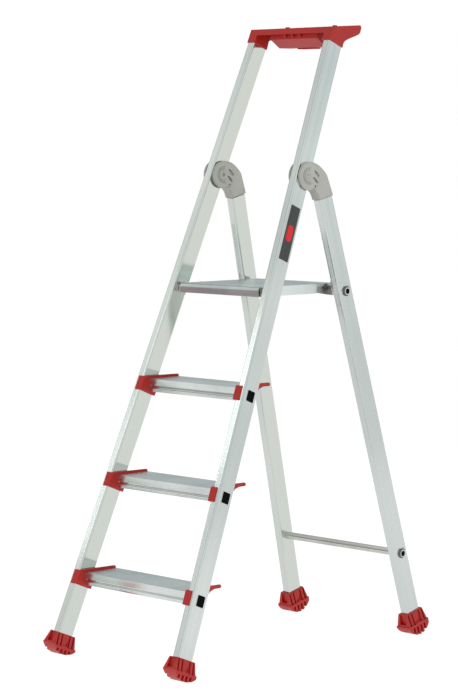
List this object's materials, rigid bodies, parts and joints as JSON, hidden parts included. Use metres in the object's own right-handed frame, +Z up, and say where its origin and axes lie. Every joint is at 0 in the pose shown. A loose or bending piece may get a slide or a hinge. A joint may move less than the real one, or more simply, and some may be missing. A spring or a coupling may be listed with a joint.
{
  "type": "step ladder",
  "caption": "Free-standing aluminium step ladder with treads, a folding standing platform, a tool tray on top and plastic feet and hinges.",
  "frame": {"origin": "on the ground, under the middle of the open ladder's box", "axes": "+X to the right of a person climbing, +Y from the climbing side to the back, +Z up"},
  "size_m": [0.4792, 0.8988, 1.5546],
  "materials": {
    "ribbed_tube": "fine ribs drawn along the length, smooth inner faces",
    "tread_aluminium": "drawn along the tread, satin",
    "red_plastic": "moulded, low sheen",
    "grey_plastic": "moulded, low sheen",
    "black_plastic": "moulded",
    "bright_tube": "bright drawn",
    "rivet_metal": "plain",
    "label_grey": "printed film, blank",
    "badge_red": "printed film, blank"
  },
  "bodies": {
    "front_frame": {"front_stile_left": "ribbed_tube", "front_stile_right": "ribbed_tube", "tread_lower": "tread_aluminium", "tread_middle": "tread_aluminium", "tread_upper": "tread_aluminium", "tread_cap_lower_left": "red_plastic", "tread_cap_lower_right": "red_plastic", "tread_cap_middle_left": "red_plastic", "tread_cap_middle_right": "red_plastic", "tread_cap_upper_left": "red_plastic", "tread_cap_upper_right": "red_plastic", "rung_plugs": "black_plastic", "foot_front_left": "red_plastic", "foot_front_right": "red_plastic", "foot_rivets_front": "rivet_metal", "tool_tray": "red_plastic", "tray_screws": "rivet_metal", "label_plate": "label_grey", "label_badge": "badge_red", "platform_rest_left": "rivet_metal", "platform_rest_right": "rivet_metal", "rest_rivets": "rivet_metal", "hinge_bush_left": "black_plastic", "hinge_bush_right": "black_plastic"},
    "rear_frame": {"rear_leg_left": "ribbed_tube", "rear_leg_right": "ribbed_tube", "hinge_clevis_left": "grey_plastic", "hinge_clevis_right": "grey_plastic", "hinge_pin_left": "rivet_metal", "hinge_pin_right": "rivet_metal", "foot_rear_left": "red_plastic", "foot_rear_right": "red_plastic", "foot_rivets_rear": "rivet_metal", "brace_tube": "bright_tube", "brace_ferrules": "black_plastic", "platform_axle": "bright_tube", "axle_ferrules": "black_plastic", "axle_spacers": "rivet_metal", "axle_bracket_left": "rivet_metal", "axle_bracket_right": "rivet_metal", "tube_plugs": "black_plastic"},
    "platform": {"platform_plate": "tread_aluminium", "platform_end_left": "tread_aluminium", "platform_end_right": "tread_aluminium", "platform_bracket_left": "rivet_metal", "platform_bracket_right": "rivet_metal", "platform_bushes": "rivet_metal", "platform_rivets": "rivet_metal"}
  },
  "joints": [
    {"name": "rear_frame_hinge", "type": "hinge", "parent": "front_frame", "child": "rear_frame", "pos_m": [0, 0.0694, 1.17881], "axis": [1, 0, 0], "range_deg": [-36, 0]},
    {"name": "platform_hinge", "type": "hinge", "parent": "rear_frame", "child": "platform", "pos_m": [0, 0.1924, 0.891], "axis": [1, 0, 0], "range_deg": [-76, 0]}
  ],
  "couplings": [
    {"joint": "platform_hinge", "follows": "rear_frame_hinge", "ratio": 2.0824}
  ]
}
